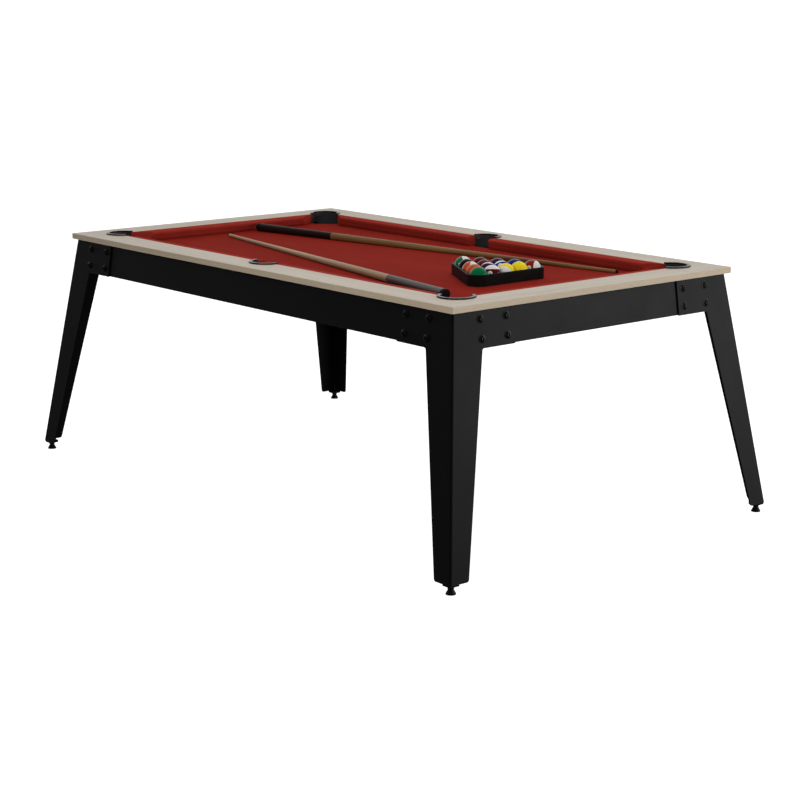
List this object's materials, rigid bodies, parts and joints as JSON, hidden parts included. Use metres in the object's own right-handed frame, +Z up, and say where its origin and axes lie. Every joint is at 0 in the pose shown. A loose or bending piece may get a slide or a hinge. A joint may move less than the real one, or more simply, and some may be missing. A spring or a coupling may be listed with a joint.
{
  "type": "pool table",
  "caption": "Slim six-pocket pool table on splayed folded-steel legs with levelling feet, shown with its racked balls and a pair of cues.",
  "frame": {"origin": "on the floor under the middle of the table", "axes": "+X along the long side towards the racked balls, +Y across the table, +Z up"},
  "size_m": [2.2654, 1.3646, 0.822],
  "materials": {
    "rail_wood": "matt lacquered pale oak",
    "base_wood": "unfinished plywood",
    "bed_cloth": "short-napped red billiard cloth",
    "cushion": "rubber covered with red billiard cloth",
    "slate": "honed slate",
    "pocket_plastic": "moulded, semi-gloss black",
    "frame_steel": "satin black powder coat on folded steel",
    "beam_steel": "satin black powder coat on steel tube",
    "bolt_steel": "blackened socket-head bolts",
    "nut_steel": "zinc-plated",
    "screw_steel": "zinc-plated wood screws",
    "screw_brass": "polished brass",
    "foot_pad": "black levelling foot",
    "foot_stud": "blackened threaded stud",
    "rack_plastic": "moulded black plastic",
    "cue_a_shaft": "satin maple",
    "cue_a_butt": "satin grey lacquer on maple",
    "cue_b_shaft": "satin brown ash",
    "cue_b_butt": "dark brown stained wood",
    "cue_bumper": "black rubber",
    "ball_01": "polished cast resin",
    "ball_02": "polished cast resin",
    "ball_03": "polished cast resin",
    "ball_04": "polished cast resin",
    "ball_05": "polished cast resin",
    "ball_06": "polished cast resin",
    "ball_07": "polished cast resin",
    "ball_08": "polished cast resin",
    "ball_09": "polished cast resin",
    "ball_10": "polished cast resin",
    "ball_11": "polished cast resin",
    "ball_12": "polished cast resin",
    "ball_13": "polished cast resin",
    "ball_14": "polished cast resin",
    "ball_15": "polished cast resin"
  },
  "bodies": {
    "table": {"rail_board_front": "rail_wood", "apron_front": "frame_steel", "rail_board_back": "rail_wood", "apron_back": "frame_steel", "rail_board_left": "rail_wood", "apron_left": "frame_steel", "rail_board_right": "rail_wood", "apron_right": "frame_steel", "rail_base_strips": "base_wood", "long_cushions": "cushion", "end_cushions": "cushion", "bed_cloth": "bed_cloth", "slate_bed": "slate", "pocket_cup_corner_front_right": "pocket_plastic", "pocket_cup_corner_back_right": "pocket_plastic", "pocket_cup_corner_back_left": "pocket_plastic", "pocket_cup_corner_front_left": "pocket_plastic", "pocket_cup_middle_front": "pocket_plastic", "pocket_cup_middle_back": "pocket_plastic", "pocket_rims": "pocket_plastic", "pocket_screws": "screw_brass", "rail_screws": "screw_steel", "leg_front_right": "frame_steel", "leg_back_right": "frame_steel", "leg_back_left": "frame_steel", "leg_front_left": "frame_steel", "cross_beams": "beam_steel", "frame_bolts": "bolt_steel", "frame_nuts": "nut_steel", "foot_lock_nuts": "foot_stud"},
    "foot_pad_front_right": {"foot_pad_front_right": "foot_pad"},
    "foot_stud_front_right": {"foot_stud_front_right": "foot_stud"},
    "foot_pad_back_right": {"foot_pad_back_right": "foot_pad"},
    "foot_stud_back_right": {"foot_stud_back_right": "foot_stud"},
    "foot_pad_back_left": {"foot_pad_back_left": "foot_pad"},
    "foot_stud_back_left": {"foot_stud_back_left": "foot_stud"},
    "foot_pad_front_left": {"foot_pad_front_left": "foot_pad"},
    "foot_stud_front_left": {"foot_stud_front_left": "foot_stud"},
    "ball_01": {"ball_01": "ball_01"},
    "ball_02": {"ball_02": "ball_02"},
    "ball_03": {"ball_03": "ball_03"},
    "ball_04": {"ball_04": "ball_04"},
    "ball_05": {"ball_05": "ball_05"},
    "ball_06": {"ball_06": "ball_06"},
    "ball_07": {"ball_07": "ball_07"},
    "ball_08": {"ball_08": "ball_08"},
    "ball_09": {"ball_09": "ball_09"},
    "ball_10": {"ball_10": "ball_10"},
    "ball_11": {"ball_11": "ball_11"},
    "ball_12": {"ball_12": "ball_12"},
    "ball_13": {"ball_13": "ball_13"},
    "ball_14": {"ball_14": "ball_14"},
    "ball_15": {"ball_15": "ball_15"},
    "ball_rack": {"ball_rack": "rack_plastic"},
    "cue_a": {"cue_a_shaft": "cue_a_shaft", "cue_a_butt": "cue_a_butt", "cue_a_bumper": "cue_bumper"},
    "cue_b": {"cue_b_shaft": "cue_b_shaft", "cue_b_butt": "cue_b_butt", "cue_b_bumper": "cue_bumper"}
  },
  "joints": [
    {"name": "foot_height_front_right", "type": "slide", "parent": "table", "child": "foot_pad_front_right", "axis": [0, 0, -1], "range_m": [0, 0.012]},
    {"name": "foot_turn_front_right", "type": "hinge", "parent": "foot_pad_front_right", "child": "foot_stud_front_right", "pos_m": [1.112, -0.662, 0.03], "axis": [0, 0, 1], "range_deg": [0, 2880]},
    {"name": "foot_height_back_right", "type": "slide", "parent": "table", "child": "foot_pad_back_right", "axis": [0, 0, -1], "range_m": [0, 0.012]},
    {"name": "foot_turn_back_right", "type": "hinge", "parent": "foot_pad_back_right", "child": "foot_stud_back_right", "pos_m": [1.112, 0.662, 0.03], "axis": [0, 0, 1], "range_deg": [0, 2880]},
    {"name": "foot_height_back_left", "type": "slide", "parent": "table", "child": "foot_pad_back_left", "axis": [0, 0, -1], "range_m": [0, 0.012]},
    {"name": "foot_turn_back_left", "type": "hinge", "parent": "foot_pad_back_left", "child": "foot_stud_back_left", "pos_m": [-1.112, 0.662, 0.03], "axis": [0, 0, 1], "range_deg": [0, 2880]},
    {"name": "foot_height_front_left", "type": "slide", "parent": "table", "child": "foot_pad_front_left", "axis": [0, 0, -1], "range_m": [0, 0.012]},
    {"name": "foot_turn_front_left", "type": "hinge", "parent": "foot_pad_front_left", "child": "foot_stud_front_left", "pos_m": [-1.112, -0.662, 0.03], "axis": [0, 0, 1], "range_deg": [0, 2880]},
    {"name": "ball_01_lift", "type": "slide", "parent": "table", "child": "ball_01", "axis": [0, 0, 1], "range_m": [0, 0.25]},
    {"name": "ball_02_lift", "type": "slide", "parent": "table", "child": "ball_02", "axis": [0, 0, 1], "range_m": [0, 0.25]},
    {"name": "ball_03_lift", "type": "slide", "parent": "table", "child": "ball_03", "axis": [0, 0, 1], "range_m": [0, 0.25]},
    {"name": "ball_04_lift", "type": "slide", "parent": "table", "child": "ball_04", "axis": [0, 0, 1], "range_m": [0, 0.25]},
    {"name": "ball_05_lift", "type": "slide", "parent": "table", "child": "ball_05", "axis": [0, 0, 1], "range_m": [0, 0.25]},
    {"name": "ball_06_lift", "type": "slide", "parent": "table", "child": "ball_06", "axis": [0, 0, 1], "range_m": [0, 0.25]},
    {"name": "ball_07_lift", "type": "slide", "parent": "table", "child": "ball_07", "axis": [0, 0, 1], "range_m": [0, 0.25]},
    {"name": "ball_08_lift", "type": "slide", "parent": "table", "child": "ball_08", "axis": [0, 0, 1], "range_m": [0, 0.25]},
    {"name": "ball_09_lift", "type": "slide", "parent": "table", "child": "ball_09", "axis": [0, 0, 1], "range_m": [0, 0.25]},
    {"name": "ball_10_lift", "type": "slide", "parent": "table", "child": "ball_10", "axis": [0, 0, 1], "range_m": [0, 0.25]},
    {"name": "ball_11_lift", "type": "slide", "parent": "table", "child": "ball_11", "axis": [0, 0, 1], "range_m": [0, 0.25]},
    {"name": "ball_12_lift", "type": "slide", "parent": "table", "child": "ball_12", "axis": [0, 0, 1], "range_m": [0, 0.25]},
    {"name": "ball_13_lift", "type": "slide", "parent": "table", "child": "ball_13", "axis": [0, 0, 1], "range_m": [0, 0.25]},
    {"name": "ball_14_lift", "type": "slide", "parent": "table", "child": "ball_14", "axis": [0, 0, 1], "range_m": [0, 0.25]},
    {"name": "ball_15_lift", "type": "slide", "parent": "table", "child": "ball_15", "axis": [0, 0, 1], "range_m": [0, 0.25]},
    {"name": "rack_lift", "type": "slide", "parent": "table", "child": "ball_rack", "axis": [0, 0, 1], "range_m": [0, 0.25]},
    {"name": "cue_a_lift", "type": "slide", "parent": "table", "child": "cue_a", "axis": [0, 0, 1], "range_m": [0, 0.25]},
    {"name": "cue_b_lift", "type": "slide", "parent": "table", "child": "cue_b", "axis": [0, 0, 1], "range_m": [0, 0.25]}
  ],
  "couplings": [
    {"joint": "foot_turn_front_right", "follows": "foot_height_front_right", "rad_per_m": 4188.8},
    {"joint": "foot_turn_back_right", "follows": "foot_height_back_right", "rad_per_m": 4188.8},
    {"joint": "foot_turn_back_left", "follows": "foot_height_back_left", "rad_per_m": 4188.8},
    {"joint": "foot_turn_front_left", "follows": "foot_height_front_left", "rad_per_m": 4188.8}
  ]
}
